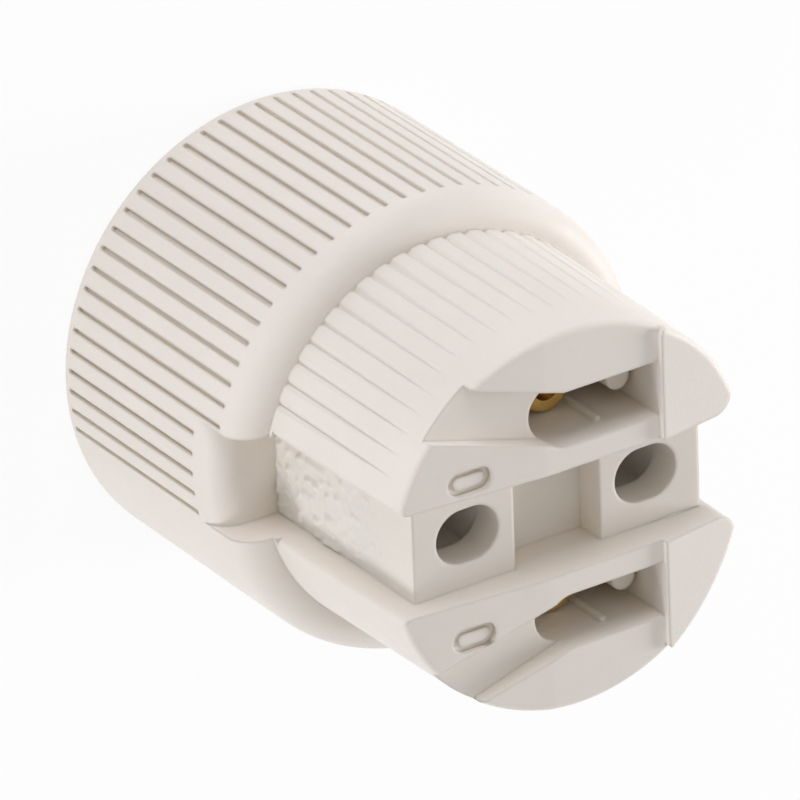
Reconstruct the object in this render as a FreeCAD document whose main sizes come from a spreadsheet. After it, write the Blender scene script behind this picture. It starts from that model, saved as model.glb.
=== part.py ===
"""Edison-screw lamp holder with rear fixing, as a parametric FreeCAD document.

The holder stands on its mouth rim.  +Z runs up the socket axis to the terminal end, +X along
the channel that crosses that end, and the origin is the centre of the mouth rim's plane.
"""
import FreeCAD, Part
import math
import os

import Sketcher

SIZES = {
    # ribbed drum around the socket
    "core_gap": 1.7,
    "drum_height": 25.8,
    "drum_wall": 2.6,
    "shoulder_radius": 2.4,
    "rim_radius": 0.8,
    # neck that carries the terminals
    "neck_step": 2.8,
    "neck_draft": 0.4,
    "end_height": 45.1,
    # fine grooves on the drum
    "drum_groove_pitch": 5.2,
    "drum_groove_width": 0.42,
    "drum_groove_depth": 0.38,
    "drum_groove_start": 1.1,
    "drum_groove_end_gap": 2.8,
    # fading grooves on the neck
    "neck_groove_pitch": 6.2,
    "neck_groove_half_angle": 52.0,
    "neck_groove_fade_height": 16.0,
    "neck_groove_margin": 0.3,
    # end face: level middle, a falling left part and a raised, falling right part
    "left_crease": 2.8,
    "right_crease": 8.1,
    "left_slope": 5.0,
    "right_slope": 9.0,
    "right_step": 0.6,
    "end_edge_radius": 0.5,
    # channel across the end, its side slots and the middle recess
    "channel_half_width": 4.6,
    "channel_depth": 3.0,
    "side_slot_depth": 3.4,
    "recess_half_length": 4.15,
    "recess_depth": 2.9,
    "notch_drop": 3.4,
    # oblong fixing holes and the passages behind them
    "fixing_spacing": 17.2,
    "fixing_hole_radius": 2.4,
    "fixing_slot_length": 6.0,
    "fixing_floor": 3.2,
    "passage_half_length": 3.0,
    "passage_half_width": 3.6,
    # terminal chambers and wire grooves
    "chamber_wall": 2.0,
    "chamber_width": 4.9,
    "chamber_round_x": -0.8,
    "chamber_depth": 12.1,
    "wire_groove_width": 4.6,
    "wire_groove_depth": 1.8,
    "wire_groove_angle": 16.5,
    "post_x": 6.6,
    "post_radius": 1.1,
    "post_drop": 3.6,
    "key_depth": 0.35,
    "key_width": 0.6,
    "key_drop": 2.3,
    # plain marking fields beside the channel
    "mark_x": 9.7,
    "mark_upper_y": 6.1,
    "mark_lower_y": 7.9,
    "mark_length": 4.0,
    "mark_width": 2.1,
    "mark_depth": 0.45,
    "mark_border": 0.5,
    # socket cavity
    "socket_radius": 14.1,
    "socket_depth": 20.5,
    "inner_cavity_radius": 12.2,
    "sleeve_wall": 1.6,
    "core_depth": 19.3,
    "web_width": 1.6,
    "chamber_floor_thickness": 3.0,
    "sleeve_recess": 0.6,
    # contact cover
    "cover_thickness": 1.8,
    "cover_clearance": 0.15,
    "boss_radius": 4.5,
    "boss_length": 2.8,
    "cover_notch_radius": 3.3,
    # screw shell
    "shell_clearance": 0.4,
    "shell_wall": 0.4,
    "shell_start": 2.6,
    "shell_flange_overhang": 1.3,
    "shell_leg_width": 4.0,
    "shell_leg_gap": 0.1,
    "shell_tab_length": 4.5,
    # sprung centre contact
    "plunger_radius": 2.6,
    "plunger_wall": 0.5,
    "plunger_length": 5.9,
    "plunger_collar_radius": 3.2,
    "plunger_collar_height": 0.9,
    "plunger_travel": 1.5,
    "sliding_clearance": 0.06,
    "spring_wire": 0.36,
    "spring_turns": 6.0,
    # contact strips
    "strip_thickness": 0.6,
    "strip_width": 4.0,
    "strip_corner_cut": 1.9,
    "strip_clearance": 0.1,
    # terminal barrels and clamping screws
    "barrel_x": 1.2,
    "barrel_radius": 2.25,
    "barrel_clearance": 0.1,
    "barrel_drop": 5.7,
    "tenon_radius": 1.3,
    "screw_bore_radius": 1.25,
    "wire_hole_radius": 1.2,
    "wire_hole_rise": 2.0,
    "clamp_screw_length": 2.8,
    "clamp_screw_clearance": 0.05,
    "driver_slot_width": 0.5,
    "driver_slot_depth": 0.7,
    # shell screws
    "shell_screw_angle": 64.5,
    "shell_screw_radius": 1.1,
    "shell_screw_head_radius": 1.8,
    "shell_screw_head_height": 1.1,
    "shell_screw_length": 4.4,
    "shell_screw_clearance": 0.1,
}

WEB_COUNT = 6
DRUM_GROOVES_EACH_SIDE = 20
NOTCH_GROOVES = 5
NECK_GROOVES_EACH_SIDE = 11


class Length:
    """A number together with the spreadsheet expression that gives it."""

    def __init__(self, value, text):
        self.value = float(value)
        self.text = text

    @staticmethod
    def of(other):
        return other if isinstance(other, Length) else Length(other, repr(float(other)))

    def __add__(self, other):
        other = Length.of(other)
        return Length(self.value + other.value, f"({self.text} + {other.text})")

    def __radd__(self, other):
        return Length.of(other) + self

    def __sub__(self, other):
        other = Length.of(other)
        return Length(self.value - other.value, f"({self.text} - {other.text})")

    def __rsub__(self, other):
        return Length.of(other) - self

    def __mul__(self, other):
        other = Length.of(other)
        return Length(self.value * other.value, f"({self.text} * {other.text})")

    def __rmul__(self, other):
        return Length.of(other) * self

    def __truediv__(self, other):
        other = Length.of(other)
        return Length(self.value / other.value, f"({self.text} / {other.text})")

    def __neg__(self):
        return Length(-self.value, f"(-1 * {self.text})")

    def tangent(self):
        """Tangent of a plain number of degrees."""
        return Length(math.tan(math.radians(self.value)), f"tan({self.text} * 1deg)")

    def cosine(self):
        """Cosine of a plain number of degrees."""
        return Length(math.cos(math.radians(self.value)), f"cos({self.text} * 1deg)")

    def sine(self):
        """Sine of a plain number of degrees."""
        return Length(math.sin(math.radians(self.value)), f"sin({self.text} * 1deg)")


class Sizes:
    """The spreadsheet of driving dimensions, each reached by its alias."""

    def __init__(self, document):
        self.sheet = document.addObject("Spreadsheet::Sheet", "Sizes")
        for row, (alias, number) in enumerate(SIZES.items(), start=1):
            self.sheet.set(f"A{row}", alias)
            self.sheet.set(f"B{row}", str(number))
            self.sheet.setAlias(f"B{row}", alias)
        document.recompute()

    def __getattr__(self, alias):
        return Length(SIZES[alias], f"Sizes.{alias}")


doc = FreeCAD.newDocument("lamp_holder")
size = Sizes(doc)

# ---------------------------------------------------------------- levels worked out from the sizes
drum_radius = size.socket_radius + size.sleeve_wall + size.core_gap + size.drum_wall
neck_base_radius = drum_radius - size.neck_step
neck_end_radius = neck_base_radius - size.neck_draft
pad_half_length = neck_base_radius - size.side_slot_depth
end_top = size.end_height + size.right_step
neck_height = size.end_height - size.drum_height
notch_floor = size.drum_height - size.notch_drop
pad_level = size.end_height - size.channel_depth
recess_floor = pad_level - size.recess_depth
passage_top = pad_level - size.fixing_floor
chamber_floor = size.end_height - size.chamber_depth
chamber_half = size.chamber_width / 2
chamber_offset = size.channel_half_width + size.chamber_wall + chamber_half
cavity_depth = chamber_floor - size.chamber_floor_thickness
wire_groove_floor = size.end_height - size.wire_groove_depth
barrel_top = size.end_height - size.barrel_drop
fixing_x = size.fixing_spacing / 2
cover_bottom = cavity_depth - size.cover_thickness
boss_bottom = cover_bottom - size.boss_length
shell_outer_radius = size.socket_radius - size.shell_clearance
shell_inner_radius = shell_outer_radius - size.shell_wall
tab_bottom = cover_bottom - size.shell_wall
leg_reach = size.inner_cavity_radius - size.shell_leg_gap
leg_outer = leg_reach - size.shell_leg_width * size.shell_leg_width / leg_reach / 4
leg_inner = leg_outer - size.shell_wall
shell_screw_circle = leg_inner - size.shell_screw_head_radius - size.shell_leg_gap
shell_screw_x = shell_screw_circle * size.shell_screw_angle.cosine()
shell_screw_y = shell_screw_circle * size.shell_screw_angle.sine()
plunger_top = cavity_depth - size.plunger_travel
plunger_bottom = plunger_top - size.plunger_length
wire_hole_z = chamber_floor + size.wire_hole_rise
past = Length(5.0, "5")


# ---------------------------------------------------------------- helpers
def bind(target, prop, length):
    """Tie a property of a document object to the spreadsheet."""
    target.setExpression(prop, Length.of(length).text)


def new_body(name):
    body = doc.addObject("PartDesign::Body", name)
    body.Label = name
    return body


def origin_item(body, role):
    """One of the body's origin planes or axes."""
    return next(item for item in body.Origin.OriginFeatures if item.Role == role)


def new_sketch(body, name, plane="XY_Plane", level=None):
    """A sketch on one of the body's origin planes, raised to a level along its normal."""
    sketch = body.newObject("Sketcher::SketchObject", name)
    sketch.AttachmentSupport = [(origin_item(body, plane), "")]
    sketch.MapMode = "FlatFace"
    if level is not None:
        bind(sketch, "AttachmentOffset.Base.z", level)
    return sketch


def turn_about_z(sketch, angle):
    """Turn a level sketch about Z by a plain number of degrees."""
    bind(sketch, "AttachmentOffset.Rotation.Axis.x", 0)
    bind(sketch, "AttachmentOffset.Rotation.Axis.y", 0)
    bind(sketch, "AttachmentOffset.Rotation.Axis.z", 1)
    sketch.setExpression("AttachmentOffset.Rotation.Angle", f"{angle.text} * 1deg")


def fix_distance(sketch, kind, geometry, point, length):
    """Hold one coordinate of a sketch point."""
    length = Length.of(length)
    if abs(length.value) < 1e-9:
        axis = -2 if kind == "DistanceX" else -1
        sketch.addConstraint(Sketcher.Constraint("PointOnObject", geometry, point, axis))
        return
    index = sketch.addConstraint(
        Sketcher.Constraint(kind, -1, 1, geometry, point, length.value))
    sketch.setExpression(f"Constraints[{index}]", length.text)


def fix_point(sketch, geometry, point, place):
    fix_distance(sketch, "DistanceX", geometry, point, place[0])
    fix_distance(sketch, "DistanceY", geometry, point, place[1])


def add_polygon(sketch, corners):
    """A closed outline of straight lines through the corners."""
    places = [FreeCAD.Vector(Length.of(u).value, Length.of(v).value, 0) for u, v in corners]
    lines = []
    for here, there in zip(places, places[1:] + places[:1]):
        lines.append(sketch.addGeometry(Part.LineSegment(here, there), False))
    for line, following in zip(lines, lines[1:] + lines[:1]):
        sketch.addConstraint(Sketcher.Constraint("Coincident", line, 2, following, 1))
    for line, corner in zip(lines, corners):
        fix_point(sketch, line, 1, corner)
    return lines


def add_rectangle(sketch, low, high):
    return add_polygon(sketch, [(low[0], low[1]), (high[0], low[1]),
                                (high[0], high[1]), (low[0], high[1])])


def add_circle(sketch, centre, radius):
    place = FreeCAD.Vector(Length.of(centre[0]).value, Length.of(centre[1]).value, 0)
    circle = sketch.addGeometry(
        Part.Circle(place, FreeCAD.Vector(0, 0, 1), Length.of(radius).value), False)
    fix_point(sketch, circle, 3, centre)
    index = sketch.addConstraint(Sketcher.Constraint("Radius", circle, Length.of(radius).value))
    sketch.setExpression(f"Constraints[{index}]", Length.of(radius).text)
    return circle


def add_slot(sketch, centre, half_straight, radius, upright=False):
    """A slot with round ends: two arcs about centres half_straight each side of the centre."""
    turn = math.pi / 2 if upright else 0.0
    shift = (0, half_straight) if upright else (half_straight, 0)
    ends = [(centre[0] + shift[0], centre[1] + shift[1]),
            (centre[0] - shift[0], centre[1] - shift[1])]
    arcs = []
    for order, end in enumerate(ends):
        start = turn - math.pi / 2 + order * math.pi
        place = FreeCAD.Vector(Length.of(end[0]).value, Length.of(end[1]).value, 0)
        round_end = Part.Circle(place, FreeCAD.Vector(0, 0, 1), Length.of(radius).value)
        arcs.append(sketch.addGeometry(
            Part.ArcOfCircle(round_end, start, start + math.pi), False))
    first, second = arcs
    for one, other in ((first, second), (second, first)):
        line = sketch.addGeometry(Part.LineSegment(
            sketch.Geometry[one].EndPoint, sketch.Geometry[other].StartPoint), False)
        sketch.addConstraint(Sketcher.Constraint("Tangent", one, 2, line, 1))
        sketch.addConstraint(Sketcher.Constraint("Tangent", line, 2, other, 1))
    sketch.addConstraint(Sketcher.Constraint("Equal", first, second))
    index = sketch.addConstraint(
        Sketcher.Constraint("Radius", first, Length.of(radius).value))
    sketch.setExpression(f"Constraints[{index}]", Length.of(radius).text)
    for arc, end in zip(arcs, ends):
        fix_point(sketch, arc, 3, end)


def new_feature(body, kind, name):
    """A PartDesign feature; seams are merged once, by the body's last feature."""
    feature = body.newObject(f"PartDesign::{kind}", name)
    feature.Refine = False
    return feature


known_volume = {}


def volume_of(body):
    """The body's volume before the next feature, as it was found after the last one."""
    return known_volume.get(body.Name, 0.0)


def measure(body):
    doc.recompute()
    known_volume[body.Name] = body.Shape.Volume
    return known_volume[body.Name]


def check_change(body, before, grows, name):
    """Stop if a feature changed nothing, which a wrong direction does silently."""
    after = measure(body)
    changed = after - before if grows else before - after
    if changed < 1e-6:
        raise RuntimeError(f"{body.Label}.{name} changes nothing")


def add_pad(body, sketch, length, reversed_way=False):
    before = volume_of(body)
    pad = new_feature(body, "Pad", f"{sketch.Name}_pad")
    pad.Profile = sketch
    bind(pad, "Length", length)
    pad.Reversed = reversed_way
    check_change(body, before, True, pad.Name)
    return pad


def add_pocket(body, sketch, length, reversed_way=False, middle=False):
    before = volume_of(body)
    pocket = new_feature(body, "Pocket", f"{sketch.Name}_pocket")
    pocket.Profile = sketch
    bind(pocket, "Length", length)
    pocket.Reversed = reversed_way
    pocket.Midplane = middle
    check_change(body, before, False, pocket.Name)
    return pocket


def add_revolution(body, sketch, groove=False):
    before = volume_of(body)
    turned = new_feature(body, "Groove" if groove else "Revolution", f"{sketch.Name}_turned")
    turned.Profile = sketch
    turned.ReferenceAxis = (sketch, ["V_Axis"])
    turned.Angle = 360
    check_change(body, before, not groove, turned.Name)
    return turned


def add_ring(body, feature, count, span, cuts=True):
    """Repeat a feature around Z over a span of degrees."""
    before = volume_of(body)
    pattern = new_feature(body, "PolarPattern", f"{feature.Name}_ring")
    pattern.Originals = [feature]
    pattern.Axis = (origin_item(body, "Z_Axis"), [""])
    pattern.Occurrences = count
    bind(pattern, "Angle", span)
    body.Tip = pattern
    check_change(body, before, not cuts, pattern.Name)
    return pattern


def mirror_across(body, features, plane):
    before = volume_of(body)
    mirror = new_feature(body, "Mirrored", f"{features[0].Name}_mirrored")
    mirror.Originals = features
    mirror.MirrorPlane = (origin_item(body, plane), [""])
    body.Tip = mirror
    after = measure(body)
    if abs(after - before) < 1e-6:
        raise RuntimeError(f"{body.Label}.{mirror.Name} changes nothing")
    return mirror


def edges_where(body, test):
    """Names of the edges of the body's present shape that pass a test."""
    doc.recompute()
    return [f"Edge{number}" for number, edge in enumerate(body.Tip.Shape.Edges, start=1)
            if test(edge)]


def add_fillet(body, names, radius):
    before = volume_of(body)
    rounded = body.Tip
    fillet = new_feature(body, "Fillet", f"{body.Name}_fillet")
    fillet.Base = (rounded, names)
    bind(fillet, "Radius", radius)
    after = measure(body)
    if not fillet.isValid() or abs(after - before) < 1e-6:
        raise RuntimeError(f"{body.Label}.{fillet.Name} changes nothing")
    return fillet


def is_circle(edge, radius, level):
    """True for a full or part circle about Z with this radius at this level."""
    curve = edge.Curve
    return (isinstance(curve, Part.Circle) and abs(curve.Radius - radius.value) < 1e-3
            and abs(curve.Center.z - level.value) < 1e-3
            and math.hypot(curve.Center.x, curve.Center.y) < 1e-3)


# ---------------------------------------------------------------- housing: one moulding
def housing_outside(body):
    """Drum, shoulder and drafted neck, turned in one piece."""
    outline = new_sketch(body, "outside", "XZ_Plane")
    add_polygon(outline, [
        (0, 0), (drum_radius, 0), (drum_radius, size.drum_height),
        (neck_base_radius, size.drum_height),
        (neck_end_radius, end_top), (0, end_top)])
    add_revolution(body, outline)
    shoulder = edges_where(body, lambda e: is_circle(e, drum_radius, size.drum_height))
    add_fillet(body, shoulder, size.shoulder_radius)
    rim = edges_where(body, lambda e: is_circle(e, drum_radius, Length(0, "0")))
    add_fillet(body, rim, size.rim_radius)
    return outline


def housing_end(body):
    """The end face falls away on the left and steps up, then falls away, on the right."""
    reach = drum_radius + past
    outline = new_sketch(body, "end_face", "XZ_Plane")
    left_fall = (reach - size.left_crease) * size.left_slope.tangent()
    right_fall = (reach - size.right_crease) * size.right_slope.tangent()
    add_polygon(outline, [
        (-reach, size.end_height - left_fall), (-size.left_crease, size.end_height),
        (size.right_crease, size.end_height), (size.right_crease, end_top),
        (reach, end_top - right_fall), (reach, end_top + past), (-reach, end_top + past)])
    add_pocket(body, outline, reach * 2, middle=True)
    lowest = size.end_height - left_fall

    def on_rim(edge):
        middle = edge.valueAt((edge.FirstParameter + edge.LastParameter) / 2)
        straight = isinstance(edge.Curve, Part.Line)
        return not straight and middle.z > lowest.value
    add_fillet(body, edges_where(body, on_rim), size.end_edge_radius)


def housing_side_slots(body):
    """Flat-bottomed slots down both sides of the neck and into the drum's shoulder."""
    outline = new_sketch(body, "side_slot", "XY_Plane", notch_floor)
    add_rectangle(outline, (-(drum_radius + past), -size.channel_half_width),
                  (-pad_half_length, size.channel_half_width))
    slot = add_pocket(body, outline, end_top, reversed_way=True)
    mirror_across(body, [slot], "YZ_Plane")

    def on_notch(edge):
        return (is_circle(edge, drum_radius, notch_floor))
    add_fillet(body, edges_where(body, on_notch), size.shoulder_radius)


def housing_channel(body):
    """The channel across the end with its two pads and the middle recess."""
    channel = new_sketch(body, "channel", "XY_Plane", pad_level)
    reach = neck_base_radius + past
    add_rectangle(channel, (-reach, -size.channel_half_width), (reach, size.channel_half_width))
    add_pocket(body, channel, end_top, reversed_way=True)
    recess = new_sketch(body, "recess", "XY_Plane", recess_floor)
    add_rectangle(recess, (-size.recess_half_length, -size.channel_half_width),
                  (size.recess_half_length, size.channel_half_width))
    add_pocket(body, recess, size.recess_depth, reversed_way=True)


def housing_terminal_chambers(body):
    """A chamber, a wire groove and a barrel seat on one side of the channel, then mirrored."""
    middle = chamber_offset
    parts_of_side = []

    def cut(sketch, length=end_top):
        parts_of_side.append(add_pocket(body, sketch, length, reversed_way=True))

    round_part = new_sketch(body, "chamber_round", "XY_Plane", chamber_floor)
    add_circle(round_part, (size.chamber_round_x, middle), chamber_half)
    cut(round_part)
    square_part = new_sketch(body, "chamber_square", "XY_Plane", chamber_floor)
    add_rectangle(square_part, (size.chamber_round_x, middle - chamber_half),
                  (size.right_crease, middle + chamber_half))
    cut(square_part)

    groove = new_sketch(body, "wire_groove", "XY_Plane", wire_groove_floor)
    along = (-size.wire_groove_angle.cosine(), size.wire_groove_angle.sine())
    across = (size.wire_groove_angle.sine(), size.wire_groove_angle.cosine())
    half = size.wire_groove_width / 2
    reach = neck_base_radius
    add_polygon(groove, [
        (size.chamber_round_x + along[0] * reach * step + across[0] * half * edge,
         middle + along[1] * reach * step + across[1] * half * edge)
        for step, edge in ((0, -1), (0, 1), (1, 1), (1, -1))])
    cut(groove)

    seat = new_sketch(body, "barrel_seat", "XY_Plane", cavity_depth)
    add_circle(seat, (size.barrel_x, middle), size.tenon_radius + size.barrel_clearance)
    cut(seat, chamber_floor - cavity_depth + past)

    post = new_sketch(body, "post", "XY_Plane", chamber_floor)
    add_circle(post, (size.post_x, middle), size.post_radius)
    parts_of_side.append(
        add_pad(body, post, size.end_height - size.post_drop - chamber_floor))

    key_x = size.barrel_x + size.barrel_radius + size.barrel_clearance - size.key_depth / 2
    for name, wall in (("inner", -1), ("outer", 1)):
        key = new_sketch(body, f"{name}_key", "XY_Plane", chamber_floor)
        face = middle + wall * chamber_half
        crest = face - wall * size.key_depth
        low, high = (crest, face) if wall > 0 else (face, crest)
        add_rectangle(key, (key_x, low), (key_x + size.key_width, high))
        parts_of_side.append(
            add_pad(body, key, size.end_height - size.key_drop - chamber_floor))
    mirror_across(body, parts_of_side, "XZ_Plane")


def housing_marks(body):
    """A plain sunk field with a plain raised pad in it, on each side of the channel."""
    for side, middle in (("upper", size.mark_upper_y), ("lower", -size.mark_lower_y)):
        slope_drop = (size.mark_x - size.left_crease) * size.left_slope.tangent()
        floor = size.end_height - slope_drop - size.mark_depth
        field = new_sketch(body, f"{side}_mark", "XY_Plane", floor)
        half_width = size.mark_width / 2
        half_straight = size.mark_length / 2 - half_width
        add_slot(field, (-size.mark_x, middle), half_straight, half_width)
        add_pocket(body, field, end_top, reversed_way=True)
        pad = new_sketch(body, f"{side}_mark_pad", "XY_Plane", floor)
        add_slot(pad, (-size.mark_x, middle), half_straight, half_width - size.mark_border)
        add_pad(body, pad, size.mark_depth * 0.6)


def housing_cavity(body):
    """Socket cavity, cored gap behind its sleeve, fixing passages and holes."""
    socket = new_sketch(body, "socket", "XY_Plane")
    add_circle(socket, (0, 0), size.socket_radius)
    add_pocket(body, socket, size.socket_depth, reversed_way=True)
    cavity = new_sketch(body, "cavity", "XY_Plane")
    add_circle(cavity, (0, 0), size.inner_cavity_radius)
    add_pocket(body, cavity, cavity_depth, reversed_way=True)
    core = new_sketch(body, "core", "XY_Plane")
    add_circle(core, (0, 0), drum_radius - size.drum_wall)
    add_circle(core, (0, 0), size.socket_radius + size.sleeve_wall)
    add_pocket(body, core, size.core_depth, reversed_way=True)
    lip = new_sketch(body, "sleeve_recess", "XY_Plane")
    add_circle(lip, (0, 0), drum_radius - size.drum_wall)
    add_pocket(body, lip, size.sleeve_recess, reversed_way=True)
    web = new_sketch(body, "web", "XY_Plane", size.sleeve_recess + size.web_width)
    web_inner = size.socket_radius + size.sleeve_wall / 2
    web_outer = drum_radius - size.drum_wall / 2
    add_rectangle(web, (web_inner, -size.web_width / 2), (web_outer, size.web_width / 2))
    first_web = add_pad(body, web, size.core_depth - size.sleeve_recess - size.web_width)
    add_ring(body, first_web, WEB_COUNT, 360.0, cuts=False)

    passage = new_sketch(body, "passage", "XY_Plane", cavity_depth)
    add_rectangle(passage, (-fixing_x - size.passage_half_length, -size.passage_half_width),
                  (-fixing_x + size.passage_half_length, size.passage_half_width))
    add_pocket(body, passage, passage_top - cavity_depth, reversed_way=True)
    passage_cut = body.Tip
    hole = new_sketch(body, "fixing_hole", "XY_Plane", cavity_depth)
    add_slot(hole, (-fixing_x, 0), size.fixing_slot_length / 2 - size.fixing_hole_radius,
             size.fixing_hole_radius)
    hole_cut = add_pocket(body, hole, end_top, reversed_way=True)
    mirror_across(body, [passage_cut, hole_cut], "YZ_Plane")


def centre_strip_outline(half):
    """Corners of the strip from the upper barrel to the lamp's centre contact."""
    right, top = size.barrel_x + half, chamber_offset + half
    return [(-half, -half), (right, -half), (right, top), (-half, top)]


def shell_strip_outline(half):
    """Corners of the strip from the lower barrel to the shell screw, one corner cut off."""
    left, right = size.barrel_x - half, shell_screw_x + half
    bottom, top = -chamber_offset - half, -chamber_offset + half
    cut = size.strip_corner_cut
    return [(left, bottom), (right - cut, bottom), (right, bottom + cut), (right, top), (left, top)]


def housing_strip_seats(body):
    """Shallow seats in the cavity floor for the contact strips, and pilot holes."""
    clear = size.strip_clearance
    half = size.strip_width / 2 + clear
    upper = new_sketch(body, "centre_strip_seat", "XY_Plane", cavity_depth)
    add_polygon(upper, centre_strip_outline(half))
    add_pocket(body, upper, size.strip_thickness + clear, reversed_way=True)
    lower = new_sketch(body, "shell_strip_seat", "XY_Plane", cavity_depth)
    add_polygon(lower, shell_strip_outline(half))
    add_pocket(body, lower, size.strip_thickness + clear, reversed_way=True)
    for side, sign in (("left", -1), ("right", 1)):
        pilot = new_sketch(body, f"{side}_pilot", "XY_Plane", cavity_depth)
        add_circle(pilot, (sign * shell_screw_x, -sign * shell_screw_y),
                   size.shell_screw_radius + size.shell_screw_clearance)
        depth = size.shell_screw_length - size.cover_thickness - size.shell_wall
        add_pocket(body, pilot, depth + size.shell_screw_clearance * 3, reversed_way=True)


def place_groove_sketch(sketch, angle, radius):
    """Turn an upright sketch about Z so that it faces outward at an angle and a radius."""
    turn = angle + 90
    bind(sketch, "AttachmentOffset.Rotation.Axis.x", 0)
    bind(sketch, "AttachmentOffset.Rotation.Axis.y", 1)
    bind(sketch, "AttachmentOffset.Rotation.Axis.z", 0)
    sketch.setExpression("AttachmentOffset.Rotation.Angle", f"{turn.text} * 1deg")
    bind(sketch, "AttachmentOffset.Base.x", radius * turn.sine())
    bind(sketch, "AttachmentOffset.Base.z", radius * turn.cosine())


def housing_drum_grooves(body):
    """Fine longitudinal grooves over the top and sides of the drum, shorter at the notches."""
    half_width = size.drum_groove_width / 2
    floor_radius = drum_radius - size.drum_groove_depth
    full_end = size.drum_height - size.drum_groove_end_gap
    full_steps = DRUM_GROOVES_EACH_SIDE - NOTCH_GROOVES
    notch_middle = full_steps + NOTCH_GROOVES / 2
    runs = (("full", full_end, 2 * full_steps, 0.0),
            ("right", full_end - size.notch_drop, NOTCH_GROOVES, -notch_middle),
            ("left", full_end - size.notch_drop, NOTCH_GROOVES, notch_middle))
    for name, end, count, middle_step in runs:
        middle = size.drum_groove_pitch * middle_step + 90
        groove = new_sketch(body, f"drum_groove_{name}", "XZ_Plane")
        half_length = (end - size.drum_groove_start) / 2
        add_slot(groove, (Length(0, "0"), size.drum_groove_start + half_length),
                 half_length - half_width, half_width, upright=True)
        first = middle - size.drum_groove_pitch * ((count - 1) / 2)
        place_groove_sketch(groove, first, floor_radius)
        cut = add_pocket(body, groove, size.drum_groove_depth + past, reversed_way=True)
        add_ring(body, cut, count, size.drum_groove_pitch * (count - 1))


def housing_neck_grooves(body):
    """Vee grooves of even floor radius, which the neck's draft makes fade out."""
    fall = (neck_base_radius - neck_end_radius) / (end_top - size.drum_height)
    floor_radius = neck_base_radius - fall * size.neck_groove_fade_height
    outer = neck_base_radius + size.neck_groove_margin
    half_mouth = (outer - floor_radius) * size.neck_groove_half_angle.tangent()
    count = 2 * NECK_GROOVES_EACH_SIDE
    first = 90 - size.neck_groove_pitch * ((count - 1) / 2)
    groove = new_sketch(body, "neck_groove", "XY_Plane", size.drum_height)
    add_polygon(groove, [(floor_radius, 0), (outer, half_mouth), (outer, -half_mouth)])
    turn_about_z(groove, first)
    cut = add_pocket(body, groove, neck_height, reversed_way=True)
    add_ring(body, cut, count, size.neck_groove_pitch * (count - 1))


def make_housing():
    body = new_body("housing")
    housing_outside(body)
    housing_side_slots(body)
    housing_end(body)
    housing_channel(body)
    housing_cavity(body)
    housing_strip_seats(body)
    housing_terminal_chambers(body)
    housing_marks(body)
    housing_neck_grooves(body)
    housing_drum_grooves(body)
    body.Tip.Refine = True
    return body


# ---------------------------------------------------------------- pieces inside the socket
def turned_piece(name, corners, at=None):
    """A body turned about Z from a half section, set at a place."""
    body = new_body(name)
    outline = new_sketch(body, f"{name}_section", "XZ_Plane")
    add_polygon(outline, corners)
    add_revolution(body, outline)
    if at is not None:
        bind(body, "Placement.Base.x", at[0])
        bind(body, "Placement.Base.y", at[1])
    return body


def make_contact_cover():
    """Moulded plate over the contact strips, with a boss that guides the centre contact."""
    body = new_body("contact_cover")
    plate_radius = size.inner_cavity_radius - size.cover_clearance
    bore = size.plunger_radius + size.sliding_clearance
    collar_bore = size.plunger_collar_radius + size.sliding_clearance
    collar_seat = plunger_top - size.plunger_collar_height - size.sliding_clearance
    section = new_sketch(body, "cover_section", "XZ_Plane")
    add_polygon(section, [
        (bore, boss_bottom), (size.boss_radius, boss_bottom), (size.boss_radius, cover_bottom),
        (plate_radius, cover_bottom), (plate_radius, cavity_depth),
        (collar_bore, cavity_depth), (collar_bore, collar_seat), (bore, collar_seat)])
    add_revolution(body, section)
    reach = size.cover_thickness + size.boss_length + past
    holes = new_sketch(body, "cover_holes", "XY_Plane", boss_bottom)
    for sign in (-1, 1):
        add_circle(holes, (sign * shell_screw_x, -sign * shell_screw_y),
                   size.shell_screw_radius + size.shell_screw_clearance)
    add_pocket(body, holes, reach, reversed_way=True)
    notch = size.cover_notch_radius
    round_end = new_sketch(body, "cover_notch_end", "XY_Plane", boss_bottom)
    add_circle(round_end, (-fixing_x, 0), notch)
    cuts = [add_pocket(body, round_end, reach, reversed_way=True)]
    mouth = new_sketch(body, "cover_notch_mouth", "XY_Plane", boss_bottom)
    add_rectangle(mouth, (-size.socket_radius, -notch), (-fixing_x, notch))
    cuts.append(add_pocket(body, mouth, reach, reversed_way=True))
    mirror_across(body, cuts, "YZ_Plane")
    body.Tip.Refine = True
    return body


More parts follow.
